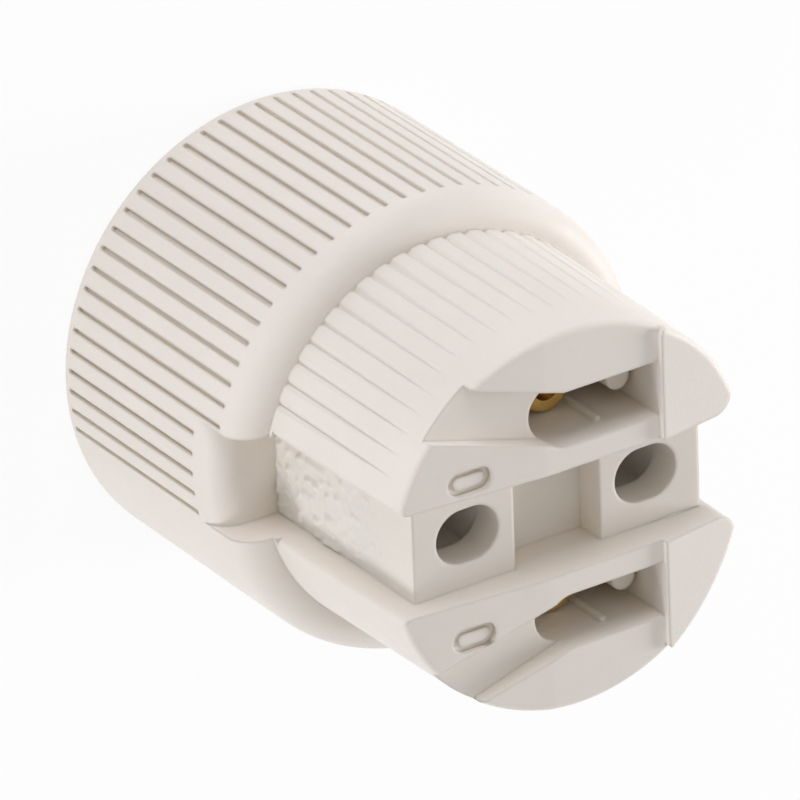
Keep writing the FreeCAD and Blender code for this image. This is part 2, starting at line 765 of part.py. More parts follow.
def make_screw_shell():
    """Nickel-plated screw shell: a sleeve, an inward flange and two legs bent in to tabs."""
    body = new_body("screw_shell")
    section = new_sketch(body, "shell_section", "XZ_Plane")
    inner, outer = shell_inner_radius, shell_outer_radius
    half = size.shell_leg_width / 2
    flange_bottom = size.socket_depth - size.shell_wall
    flange_inner = size.inner_cavity_radius - size.shell_flange_overhang
    add_polygon(section, [
        (inner, size.shell_start), (outer, size.shell_start), (outer, size.socket_depth),
        (flange_inner, size.socket_depth), (flange_inner, flange_bottom),
        (inner, flange_bottom)])
    add_revolution(body, section)
    leg = new_sketch(body, "leg", "XY_Plane", flange_bottom)
    add_rectangle(leg, (leg_inner, -half), (leg_outer, half))
    turn_about_z(leg, -size.shell_screw_angle)
    bent = [add_pad(body, leg, cover_bottom - flange_bottom)]
    tab = new_sketch(body, "tab", "XY_Plane", tab_bottom)
    add_rectangle(tab, (leg_outer - size.shell_tab_length, -half), (leg_outer, half))
    turn_about_z(tab, -size.shell_screw_angle)
    bent.append(add_pad(body, tab, size.shell_wall))
    hole = new_sketch(body, "tab_hole", "XY_Plane", tab_bottom)
    add_circle(hole, (shell_screw_x, -shell_screw_y),
               size.shell_screw_radius + size.shell_screw_clearance)
    bent.append(add_pocket(body, hole, size.shell_wall, reversed_way=True))
    before = volume_of(body)
    pair = new_feature(body, "PolarPattern", "second_leg")
    pair.Originals = bent
    pair.Axis = (origin_item(body, "Z_Axis"), [""])
    pair.Occurrences = 2
    pair.Angle = 360
    body.Tip = pair
    check_change(body, before, True, pair.Name)
    body.Tip.Refine = True
    return body


def make_plunger():
    """Sprung centre contact: a cup with a collar that the cover holds back."""
    radius = size.plunger_radius
    inner = radius - size.plunger_wall
    collar_bottom = plunger_top - size.plunger_collar_height
    body = turned_piece("centre_contact", [
        (0, plunger_bottom), (radius, plunger_bottom), (radius, collar_bottom),
        (size.plunger_collar_radius, collar_bottom), (size.plunger_collar_radius, plunger_top),
        (inner, plunger_top), (inner, plunger_bottom + size.plunger_wall),
        (0, plunger_bottom + size.plunger_wall)])
    nose = edges_where(body, lambda e: is_circle(e, radius, plunger_bottom))
    add_fillet(body, nose, size.plunger_wall * 2)
    return body


def make_spring():
    """Compression spring between the centre contact's cup and its contact strip."""
    spring = doc.addObject("Part::Helix", "spring_path")
    seat = plunger_bottom + size.plunger_wall
    half_wire = size.spring_wire / 2
    coil_radius = size.plunger_radius - size.plunger_wall - size.sliding_clearance - half_wire
    height = cavity_depth - seat - size.spring_wire
    bind(spring, "Radius", coil_radius)
    bind(spring, "Height", height)
    bind(spring, "Pitch", height / size.spring_turns)
    wire = doc.addObject("Part::Circle", "spring_wire_section")
    bind(wire, "Radius", half_wire)
    wire.Placement = FreeCAD.Placement(FreeCAD.Vector(0, 0, 0),
                                       FreeCAD.Rotation(FreeCAD.Vector(1, 0, 0), 90))
    bind(wire, "Placement.Base.x", coil_radius)
    sweep = doc.addObject("Part::Sweep", "contact_spring")
    sweep.Label = "contact_spring"
    sweep.Sections = [wire]
    sweep.Spine = (spring, [])
    sweep.Solid = True
    sweep.Frenet = True
    bind(sweep, "Placement.Base.z", seat + half_wire)
    return sweep


def make_strip(name, corners, seat_places, hole_radius):
    """A flat brass strip lying in its seat in the cavity floor, with a hole at each fastening."""
    body = new_body(name)
    outline = new_sketch(body, f"{name}_outline", "XY_Plane", cavity_depth)
    add_polygon(outline, corners)
    add_pad(body, outline, size.strip_thickness)
    holes = new_sketch(body, f"{name}_holes", "XY_Plane", cavity_depth)
    for place, radius in zip(seat_places, hole_radius):
        add_circle(holes, place, radius)
    add_pocket(body, holes, size.strip_thickness, reversed_way=True)
    return body


def make_strips():
    """The strip from the upper barrel to the spring, and from the lower barrel to the shell."""
    half = size.strip_width / 2
    tenon_hole = size.tenon_radius + size.strip_clearance
    centre = make_strip(
        "centre_strip", centre_strip_outline(half),
        [(size.barrel_x, chamber_offset)], [tenon_hole])
    shell = make_strip(
        "shell_strip", shell_strip_outline(half),
        [(size.barrel_x, -chamber_offset), (shell_screw_x, -shell_screw_y)],
        [tenon_hole, size.shell_screw_radius + size.shell_screw_clearance])
    return [centre, shell]


def make_barrel(name, sign):
    """Brass pillar terminal: a barrel with an axial screw bore and a cross hole for the wire."""
    tenon_bottom = cavity_depth
    body = turned_piece(name, [
        (0, tenon_bottom), (size.tenon_radius, tenon_bottom),
        (size.tenon_radius, chamber_floor), (size.barrel_radius, chamber_floor),
        (size.barrel_radius, barrel_top), (size.screw_bore_radius, barrel_top),
        (size.screw_bore_radius, wire_hole_z - size.wire_hole_radius),
        (0, wire_hole_z - size.wire_hole_radius)],
        at=(size.barrel_x, sign * chamber_offset))
    wire_hole = new_sketch(body, f"{name}_wire_hole", "YZ_Plane")
    add_circle(wire_hole, (0, wire_hole_z), size.wire_hole_radius)
    add_pocket(body, wire_hole, size.barrel_radius + past, reversed_way=True)
    mouth = edges_where(body, lambda e: is_circle(e, size.barrel_radius, barrel_top))
    add_fillet(body, mouth, (size.barrel_radius - size.screw_bore_radius) / 4)
    body.Tip.Refine = True
    return body


def make_clamp_screw(name, sign):
    """Slotted grub screw, run down onto the floor of the wire hole."""
    radius = size.screw_bore_radius - size.clamp_screw_clearance
    bottom = wire_hole_z - size.wire_hole_radius
    top = bottom + size.clamp_screw_length
    body = turned_piece(name, [
        (0, bottom), (radius * 0.7, bottom), (radius, bottom + radius * 0.3),
        (radius, top), (0, top)], at=(size.barrel_x, sign * chamber_offset))
    slot = new_sketch(body, f"{name}_slot", "XY_Plane", top - size.driver_slot_depth)
    half = size.driver_slot_width / 2
    add_rectangle(slot, (-radius * 2, -half), (radius * 2, half))
    add_pocket(body, slot, size.driver_slot_depth + past, reversed_way=True)
    return body


def make_shell_screw(name, sign):
    """Slotted pan-head screw that holds the shell's tab and the cover to the housing."""
    bottom = tab_bottom - size.shell_screw_head_height
    tip = tab_bottom + size.shell_screw_length
    body = turned_piece(name, [
        (0, bottom), (size.shell_screw_head_radius, bottom),
        (size.shell_screw_head_radius, tab_bottom), (size.shell_screw_radius, tab_bottom),
        (size.shell_screw_radius, tip), (0, tip)],
        at=(sign * shell_screw_x, -sign * shell_screw_y))
    crown = edges_where(body, lambda e: is_circle(e, size.shell_screw_head_radius, bottom))
    add_fillet(body, crown, size.shell_screw_head_height / 2)
    slot = new_sketch(body, f"{name}_slot", "XY_Plane", bottom)
    half = size.driver_slot_width / 2
    reach = size.shell_screw_head_radius * 2
    add_rectangle(slot, (-reach, -half), (reach, half))
    add_pocket(body, slot, size.driver_slot_depth, reversed_way=True)
    return body


def check_document():
    """Stop at any object that failed to compute."""
    doc.recompute()
    for item in doc.Objects:
        if "Invalid" in item.State or "Error" in item.State:
            raise RuntimeError(f"{item.Name} failed: {item.State}")


def export(parts):
    """Write each part to its own file, after checking its solid."""
    os.makedirs("parts", exist_ok=True)
    for part in parts:
        shape = part.Shape
        if shape.isNull() or not shape.isValid() or len(shape.Solids) != 1:
            raise RuntimeError(f"{part.Label} is not one valid solid")
        print(f"{part.Label}: {shape.Volume:.1f} cubic mm, {len(shape.Faces)} faces")
    for part in parts:
        part.Shape.exportStep(f"parts/{part.Label}.step")


all_parts = [make_contact_cover(), make_screw_shell(), make_plunger(), make_spring()]
all_parts += make_strips()
for level, sign in (("upper", 1), ("lower", -1)):
    all_parts.append(make_barrel(f"terminal_barrel_{level}", sign))
    all_parts.append(make_clamp_screw(f"clamp_screw_{level}", sign))
for side, sign in (("left", -1), ("right", 1)):
    all_parts.append(make_shell_screw(f"shell_screw_{side}", sign))
all_parts.append(make_housing())
check_document()
export(all_parts)
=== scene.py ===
"""Looks of an Edison-screw lamp holder: its finishes, its rolled thread and its moulded texture.

The solid model is the fixed frame.  It stands on its mouth rim, +Z runs up the socket axis to
the terminal end and +X along the channel across that end.  All lengths here are in metres.
"""

import logging
import math
from dataclasses import dataclass, field
from enum import Enum
from typing import Callable, Iterable

import bmesh
import bpy
from mathutils import Matrix, Vector, noise


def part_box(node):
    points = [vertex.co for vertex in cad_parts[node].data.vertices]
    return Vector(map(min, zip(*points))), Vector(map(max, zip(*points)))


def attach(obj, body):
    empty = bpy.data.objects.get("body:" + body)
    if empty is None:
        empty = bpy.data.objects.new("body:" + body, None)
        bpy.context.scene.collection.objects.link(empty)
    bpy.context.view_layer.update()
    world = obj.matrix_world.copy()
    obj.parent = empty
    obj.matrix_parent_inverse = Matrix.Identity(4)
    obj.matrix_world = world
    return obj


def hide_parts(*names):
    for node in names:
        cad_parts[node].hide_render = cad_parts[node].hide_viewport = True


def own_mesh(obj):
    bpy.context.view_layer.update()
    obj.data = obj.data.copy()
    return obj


LOG = logging.getLogger("lamp_holder")
MM = 0.001
EDGE_SAMPLES = 4
SHARP_ANGLE = math.radians(40)

# Places of the colour sockets among those of the Mix node.
MIX_FIRST, MIX_SECOND, MIX_RESULT = 6, 7, 2

Colour = tuple[float, float, float]
Point = tuple[float, float, float]
Pair = tuple[float, float]
Section = list[Pair]
Socket = bpy.types.NodeSocket
Node = bpy.types.Node
Tree = bpy.types.NodeTree
Work = bmesh.types.BMesh
Row = list[bmesh.types.BMVert]

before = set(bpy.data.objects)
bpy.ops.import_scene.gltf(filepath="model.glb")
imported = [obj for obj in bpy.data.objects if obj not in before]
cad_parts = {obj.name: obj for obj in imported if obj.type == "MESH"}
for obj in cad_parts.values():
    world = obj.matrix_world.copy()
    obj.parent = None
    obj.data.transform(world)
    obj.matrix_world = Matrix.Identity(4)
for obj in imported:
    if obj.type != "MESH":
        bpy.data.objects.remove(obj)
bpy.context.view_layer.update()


# ---- node graphs
class Graph:
    """A node tree that is filled by short calls."""

    def __init__(self, tree: Tree) -> None:
        """Take over a tree.

        Args:
            tree: the tree, emptied first.
        """
        self.tree = tree
        self.tree.nodes.clear()

    def add(self, kind: str, **settings: object) -> Node:
        """Add a node.

        Args:
            kind: the node's type without its "ShaderNode" start, or a whole type name.
            settings: the node's own properties.

        Returns:
            The new node.
        """
        name = kind if kind.startswith("Node") else "ShaderNode" + kind
        node = self.tree.nodes.new(name)
        for key, value in settings.items():
            setattr(node, key, value)
        return node

    def feed(self, node: Node, label: str | int, value: object) -> None:
        """Link an output to one of a node's inputs, or write a plain value on it.

        Args:
            node: the node.
            label: the input's name or place.
            value: an output socket, a number, or a colour or vector as a tuple.
        """
        socket = node.inputs[label]
        if isinstance(value, Socket):
            self.tree.links.new(value, socket)
        elif isinstance(value, tuple) and len(value) == 3 and socket.type == "RGBA":
            socket.default_value = (*value, 1.0)
        else:
            socket.default_value = value

    def math(self, operation: str, *values: object, clamp: bool = False) -> Socket:
        """Work out one number.

        Args:
            operation: the Math node's operation.
            values: its inputs, as outputs or numbers.
            clamp: whether the result is held between 0 and 1.

        Returns:
            The result's socket.
        """
        node = self.add("Math", operation=operation, use_clamp=clamp)
        for place, value in enumerate(values):
            self.feed(node, place, value)
        return node.outputs[0]

    def ramp(self, value: object, span: Pair) -> Socket:
        """Rise smoothly from 0 to 1 between two values.

        Args:
            value: what is compared.
            span: where the rise starts and where it ends.

        Returns:
            The mask's socket.
        """
        node = self.add("MapRange", interpolation_type="SMOOTHSTEP")
        self.feed(node, "Value", value)
        self.feed(node, "From Min", span[0])
        self.feed(node, "From Max", span[1])
        return node.outputs["Result"]

    def blend(self, mask: object, first: object, second: object) -> Socket:
        """Mix two colours.

        Args:
            mask: 0 for the first, 1 for the second.
            first: a colour or a colour socket.
            second: a colour or a colour socket.

        Returns:
            The mixed colour's socket.
        """
        node = self.add("Mix", data_type="RGBA")
        self.feed(node, "Factor", mask)
        self.feed(node, MIX_FIRST, first)
        self.feed(node, MIX_SECOND, second)
        return node.outputs[MIX_RESULT]

    def noise(self, place: Socket, size: object, detail: float = 3.0,
              roughness: float = 0.5) -> Socket:
        """Cloudy noise of a given grain size.

        Args:
            place: the point in space.
            size: the number of grains in a metre.
            detail: the number of finer layers.
            roughness: how strong the finer layers are.

        Returns:
            The noise value's socket.
        """
        node = self.add("TexNoise")
        self.feed(node, "Vector", place)
        self.feed(node, "Scale", size)
        self.feed(node, "Detail", detail)
        self.feed(node, "Roughness", roughness)
        return node.outputs["Fac"]


def new_group(name: str, inputs: Iterable[tuple[str, str, object]],
              outputs: Iterable[tuple[str, str]]) -> tuple[Graph, bpy.types.NodeOutputs, Node]:
    """Start a shader node group with named sockets.

    Args:
        name: the group's name.
        inputs: name, socket type and default value of each input.
        outputs: name and socket type of each output.

    Returns:
        The group's graph, the sockets that it is given and its output node.
    """
    tree = bpy.data.node_groups.new(name, "ShaderNodeTree")
    for label, kind, default in inputs:
        socket = tree.interface.new_socket(label, in_out="INPUT", socket_type=kind)
        if default is not None:
            socket.default_value = default
    for label, kind in outputs:
        tree.interface.new_socket(label, in_out="OUTPUT", socket_type=kind)
    graph = Graph(tree)
    return graph, graph.add("NodeGroupInput").outputs, graph.add("NodeGroupOutput")


NUMBER, COLOUR, VECTOR = "NodeSocketFloat", "NodeSocketColor", "NodeSocketVector"


def build_tone_drift(cloud_span: Pair = (0.32, 0.68), speck_span: Pair = (0.58, 0.74),
                     speck_share: float = 0.35) -> Tree:
    """Slow and fine colour change of a moulding or a plating.

    Args:
        cloud_span: the noise values between which a cloud fades in.
        speck_span: the noise values between which a speck fades in.
        speck_share: how strong a speck is beside a cloud.

    Returns:
        A group that mixes a base colour towards a second one in clouds and specks.
    """
    graph, given, out = new_group(
        "tone_drift",
        [("Place", VECTOR, None), ("Base", COLOUR, None), ("Drift", COLOUR, None),
         ("Clouds per metre", NUMBER, 90.0), ("Specks per metre", NUMBER, 2600.0),
         ("Amount", NUMBER, 0.5)],
        [("Color", COLOUR)])
    clouds = graph.noise(given["Place"], given["Clouds per metre"],
                         detail=4.0, roughness=0.6)
    specks = graph.noise(given["Place"], given["Specks per metre"], detail=2.0)
    slow = graph.ramp(clouds, cloud_span)
    fine = graph.ramp(specks, speck_span)
    mixed = graph.math("ADD", slow, graph.math("MULTIPLY", fine, speck_share))
    mask = graph.math("MULTIPLY", mixed, given["Amount"], clamp=True)
    graph.feed(out, "Color", graph.blend(mask, given["Base"], given["Drift"]))
    return graph.tree


def build_matt_grain(sheen_span: Pair = (0.3, 0.7)) -> Tree:
    """The spark-eroded skin of a matt moulding.

    Args:
        sheen_span: the noise values between which the surface turns duller.

    Returns:
        A group whose height is fine grain with soft waves under it.
    """
    graph, given, out = new_group(
        "matt_grain",
        [("Place", VECTOR, None), ("Grains per metre", NUMBER, 5200.0),
         ("Waves per metre", NUMBER, 320.0), ("Wave share", NUMBER, 0.5)],
        [("Height", NUMBER), ("Sheen", NUMBER)])
    grain = graph.noise(given["Place"], given["Grains per metre"],
                        detail=2.0, roughness=0.65)
    waves = graph.noise(given["Place"], given["Waves per metre"])
    lift = graph.math("MULTIPLY", waves, given["Wave share"])
    graph.feed(out, "Height", graph.math("ADD", grain, lift))
    graph.feed(out, "Sheen", graph.ramp(waves, sheen_span))
    return graph.tree


def build_edge_mask() -> Tree:
    """Where a surface turns over an edge.

    Returns:
        A group whose mask is 1 on edges, from the rounded and the flat normal.
    """
    graph, given, out = new_group(
        "edge_mask",
        [("Rounded", VECTOR, None), ("Flat", VECTOR, None), ("Strength", NUMBER, 8.0)],
        [("Mask", NUMBER)])
    turn = graph.add("VectorMath", operation="DOT_PRODUCT")
    graph.feed(turn, 0, given["Rounded"])
    graph.feed(turn, 1, given["Flat"])
    bend = graph.math("SUBTRACT", 1.0, turn.outputs["Value"])
    graph.feed(out, "Mask", graph.math("MULTIPLY", bend, given["Strength"], clamp=True))
    return graph.tree


# Painted shade: ambient occlusion finds hollows, and the mouldings paint them darker and warmer.
def build_hollow_shade_mask(samples: int = 6) -> Tree:
    """Where a surface lies deep in a hollow, where the mouldings paint warm shade.

    Args:
        samples: how many rays look for the hollow's walls.

    Returns:
        A group whose mask is 1 in narrow hollows and 0 on open faces.
    """
    graph, given, out = new_group(
        "hollow_shade_mask",
        [("Open", NUMBER, 0.38), ("Deep", NUMBER, 0.02), ("Reach", NUMBER, 6.0 * MM)],
        [("Mask", NUMBER)])
    shade = graph.add("AmbientOcclusion", samples=samples, only_local=True)
    graph.feed(shade, "Distance", given["Reach"])
    span = graph.math("SUBTRACT", given["Open"], given["Deep"])
    rise = graph.math("SUBTRACT", given["Open"], shade.outputs["AO"])
    graph.feed(out, "Mask", graph.math("DIVIDE", rise, span, clamp=True))
    return graph.tree


def build_tool_lines(wavers_per_metre: float = 900.0, turn: float = 6.0) -> Tree:
    """Lines left by a lathe tool or a rolling mill.

    Args:
        wavers_per_metre: how often the lines waver.
        turn: how far a waver pushes a line along, in radians.

    Returns:
        A group whose height repeats along one distance, broken up by noise.
    """
    graph, given, out = new_group(
        "tool_lines",
        [("Distance", NUMBER, 0.0), ("Place", VECTOR, None), ("Lines per metre", NUMBER, 9000.0),
         ("Break-up", NUMBER, 0.4)],
        [("Height", NUMBER)])
    waver = graph.noise(given["Place"], wavers_per_metre, detail=2.0)
    shift = graph.math("MULTIPLY", waver, given["Break-up"])
    phase = graph.math("MULTIPLY", given["Distance"], given["Lines per metre"])
    wave = graph.math("SINE", graph.math("ADD", phase, graph.math("MULTIPLY", shift, turn)))
    graph.feed(out, "Height", graph.math("ADD", wave, shift))
    return graph.tree


@dataclass
class Groups:
    """The shared node groups, each built once."""

    tone_drift: Tree = field(default_factory=build_tone_drift)
    matt_grain: Tree = field(default_factory=build_matt_grain)
    edge_mask: Tree = field(default_factory=build_edge_mask)
    hollow_shade_mask: Tree = field(default_factory=build_hollow_shade_mask)
    tool_lines: Tree = field(default_factory=build_tool_lines)

    def place(self, graph: Graph, tree: Tree, **values: object) -> Node:
        """Put a group in a material.

        Args:
            graph: the material's graph.
            tree: the group.
            values: its inputs, with "_" for the spaces in their names.

        Returns:
            The group's node.
        """
        node = graph.add("Group")
        node.node_tree = tree
        for key, value in values.items():
            graph.feed(node, key.replace("_", " "), value)
        return node


# ---- finishes
def new_material(name: str) -> tuple[bpy.types.Material, Graph, Node]:
    """Start a material with one Principled shader.

    Args:
        name: the material's name.

    Returns:
        The material, its graph and its shader.
    """
    material = bpy.data.materials.new(name)
    material.use_nodes = True
    graph = Graph(material.node_tree)
    shader = graph.add("BsdfPrincipled")
    output = graph.add("OutputMaterial")
    graph.feed(output, "Surface", shader.outputs["BSDF"])
    return material, graph, shader


def find_edges(graph: Graph, groups: Groups, radius: float,
               strength: float) -> tuple[Socket, Socket]:
    """Round a surface's edges in its shading and find where they are.

    Args:
        graph: the material's graph.
        groups: the shared node groups.
        radius: how far the rounding reaches.
        strength: how strongly an edge shows.

    Returns:
        The mask of the edges and the rounded normal.
    """
    bevel = graph.add("Bevel", samples=EDGE_SAMPLES)
    graph.feed(bevel, "Radius", radius)
    rounded = bevel.outputs["Normal"]
    flat = graph.add("NewGeometry").outputs["Normal"]
    edges = groups.place(graph, groups.edge_mask, Rounded=rounded, Flat=flat, Strength=strength)
    return edges.outputs["Mask"], rounded


def add_bump(graph: Graph, height: Socket, normal: Socket,
             strength: float, depth: float) -> Socket:
    """Lay a fine relief over a surface.

    Args:
        graph: the material's graph.
        height: the relief's height.
        normal: the direction that the relief starts from.
        strength: how strongly it shows.
        depth: how deep it is.

    Returns:
        The bumped normal's socket.
    """
    bump = graph.add("Bump")
    graph.feed(bump, "Strength", strength)
    graph.feed(bump, "Distance", depth)
    graph.feed(bump, "Height", height)
    graph.feed(bump, "Normal", normal)
    return bump.outputs["Normal"]


@dataclass(frozen=True)
class Moulding:
    """A matt heat-resistant thermoplastic that lets a little light in, with painted warm shade in
    its hollows and painted highlights on its edges.
    """

    name: str
    base: Colour
    drift: Colour
    # edge is a painted highlight colour: lighter, laid on edges.
    edge: Colour
    # deep is a painted shade colour: darker and warmer, laid into hollows.
    deep: Colour = (0.73, 0.62, 0.45)
    roughness: float = 0.5
    sheen_span: float = 0.12
    grain_strength: float = 0.5
    grain_depth: float = 0.03 * MM
    edge_radius: float = 0.42 * MM
    edge_strength: float = 2.5
    refraction: float = 1.45
    gloss: float = 0.35
    scatter: float = 0.25
    scatter_colour: Colour = (1.0, 0.72, 0.5)
    scatter_depth: float = 0.6 * MM

    def material(self, groups: Groups) -> bpy.types.Material:
        """Build the material.

        Args:
            groups: the shared node groups.

        Returns:
            The material.
        """
        material, graph, shader = new_material(self.name)
        place = graph.add("TexCoord").outputs["Object"]
        edges, rounded = find_edges(graph, groups, self.edge_radius, self.edge_strength)
        tone = groups.place(graph, groups.tone_drift, Place=place, Base=self.base,
                            Drift=self.drift)
        # Painted highlight: edges are painted towards the lighter edge colour.
        colour = graph.blend(edges, tone.outputs["Color"], self.edge)
        # Painted shade: hollows found by ambient occlusion are painted towards the deep colour.
        hollow = groups.place(graph, groups.hollow_shade_mask)
        graph.feed(shader, "Base Color", graph.blend(hollow.outputs["Mask"], colour, self.deep))
        grain = groups.place(graph, groups.matt_grain, Place=place)
        sheen = graph.math("MULTIPLY", grain.outputs["Sheen"], self.sheen_span)
        least = self.roughness - self.sheen_span / 2
        graph.feed(shader, "Roughness", graph.math("ADD", sheen, least))
        graph.feed(shader, "Normal",
                   add_bump(graph, grain.outputs["Height"], rounded,
                            self.grain_strength, self.grain_depth))
        constants = {"IOR": self.refraction, "Specular IOR Level": self.gloss,
                     "Subsurface Weight": self.scatter,
                     "Subsurface Radius": self.scatter_colour,
                     "Subsurface Scale": self.scatter_depth}
        for label, value in constants.items():
            graph.feed(shader, label, value)
        return material


class Tooling(Enum):
    """How a metal surface was made, which sets the direction of its fine lines."""

    TURNED = "turned"
    ROLLED = "rolled"
    DRAWN = "drawn"


@dataclass(frozen=True)
class Metal:
    """A bare or plated metal."""

    name: str
    base: Colour
    drift: Colour
    roughness: float
    tooling: Tooling = Tooling.TURNED
    axis: Pair = (0.0, 0.0)
    line_depth: float = 0.006 * MM
    line_strength: float = 0.35
    edge_radius: float = 0.06 * MM
    edge_strength: float = 3.0
    # Painted highlight: edges are painted this much lighter than the base colour.
    edge_highlight_gain: float = 1.15
    clouds_per_metre: float = 420.0
    specks_per_metre: float = 5200.0
    drift_amount: float = 0.35
    spots_per_metre: float = 1400.0
    roughness_span: float = 0.1
    spot_dullness: float = 0.04

    def distance(self, graph: Graph, place: Socket) -> Socket:
        """The distance along which the tool lines repeat.

        Args:
            graph: the material's graph.
            place: the point in space.

        Returns:
            The distance's socket.
        """
        split = graph.add("SeparateXYZ")
        graph.feed(split, 0, place)
        if self.tooling is Tooling.ROLLED:
            return split.outputs["X"]
        if self.tooling is Tooling.DRAWN:
            return split.outputs["Z"]
        across = graph.math("SUBTRACT", split.outputs["X"], self.axis[0])
        along = graph.math("SUBTRACT", split.outputs["Y"], self.axis[1])
        square = graph.math("ADD", graph.math("MULTIPLY", across, across),
                            graph.math("MULTIPLY", along, along))
        return graph.math("ADD", graph.math("SQRT", square), split.outputs["Z"])

    def material(self, groups: Groups) -> bpy.types.Material:
        """Build the material.

        Args:
            groups: the shared node groups.

        Returns:
            The material.
        """
        material, graph, shader = new_material(self.name)
        place = graph.add("TexCoord").outputs["Object"]
        edges, rounded = find_edges(graph, groups, self.edge_radius, self.edge_strength)
        tone = groups.place(graph, groups.tone_drift, Place=place, Base=self.base,
                            Drift=self.drift, Clouds_per_metre=self.clouds_per_metre,
                            Specks_per_metre=self.specks_per_metre, Amount=self.drift_amount)
        # Painted highlight: edges are painted lighter than the base colour.
        edge_highlight = tuple(min(1.0, channel * self.edge_highlight_gain) for channel in self.base)
        graph.feed(shader, "Base Color", graph.blend(edges, tone.outputs["Color"], edge_highlight))
        lines = groups.place(graph, groups.tool_lines, Place=place,
                             Distance=self.distance(graph, place))
        spots = graph.noise(place, self.spots_per_metre)
        least = self.roughness - self.roughness_span / 2
        graph.feed(shader, "Roughness",
                   graph.math("ADD", graph.math("MULTIPLY", spots, self.roughness_span), least))
        graph.feed(shader, "Metallic",
                   graph.math("SUBTRACT", 1.0, graph.math("MULTIPLY", spots, self.spot_dullness)))
        graph.feed(shader, "Normal",
                   add_bump(graph, lines.outputs["Height"], rounded,
                            self.line_strength, self.line_depth))
        return material


# ---- mesh helpers
def mesh_object(name: str, build: Callable[[Work], None]) -> bpy.types.Object:
    """Make an object from a mesh-building function.

    Args:
        name: the object's name.
        build: fills an empty mesh.

    Returns:
        The object, smooth shaded and linked to the scene.
    """
    work = bmesh.new()
    build(work)
    bmesh.ops.recalc_face_normals(work, faces=work.faces)
    mesh = bpy.data.meshes.new(name)
    work.to_mesh(mesh)
    work.free()
    for polygon in mesh.polygons:
        polygon.use_smooth = True
    mesh.set_sharp_from_angle(angle=SHARP_ANGLE)
    piece = bpy.data.objects.new(name, mesh)
    bpy.context.scene.collection.objects.link(piece)
    return piece


def close_grid(work: Work, rings: list[Row],
               around: bool = False, along: bool = False) -> None:
    """Join rows of vertices with quads.

    Args:
        work: the mesh.
        rings: equally long rows of vertices.
        around: whether the last row joins the first.
        along: whether each row's last vertex joins its first.
    """
    count = len(rings)
    length = len(rings[0])
    for row in range(count if around else count - 1):
        here, there = rings[row], rings[(row + 1) % count]
        for step in range(length if along else length - 1):
            after = (step + 1) % length
            work.faces.new((here[step], there[step], there[after], here[after]))


def smooth_step(value: float) -> float:
    """Rise smoothly from 0 to 1 as the value does, and stay level outside."""
    held = min(1.0, max(0.0, value))
    return held * held * (3.0 - 2.0 * held)


def cloud(place: Vector) -> float:
    """Cloudy noise between 0 and 1."""
    return noise.noise(place) * 0.5 + 0.5


def upright_axis(low: Vector, high: Vector) -> Pair:
    """Where the upright axis of a turned piece stands.

    Args:
        low: the lower corner of the piece's box.
        high: its upper corner.

    Returns:
        The axis's place towards +X and +Y.
    """
    middle = (low + high) / 2
    return middle.x, middle.y


def fit_out(piece: bpy.types.Object, body: str,
            material: bpy.types.Material, replaced: Iterable[str] = ()) -> None:
    """Dress a new piece and fasten it to its body.

    Args:
        piece: the piece.
        body: the body that it moves with.
        material: its material.
        replaced: the solid nodes that it stands for.
    """
    piece.data.materials.append(material)
    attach(piece, body)
    for node in replaced:
        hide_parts(node)
    LOG.info("%s rides on %s, %d faces", piece.name, body, len(piece.data.polygons))


def dress_node(node: str, material: bpy.types.Material) -> None:
    """Give a solid node its material.

    Args:
        node: the node's name.
        material: the material for all its slots.
    """
    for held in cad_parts[node].material_slots:
        held.material = material
    LOG.info("%s is dressed in %s", node, material.name)


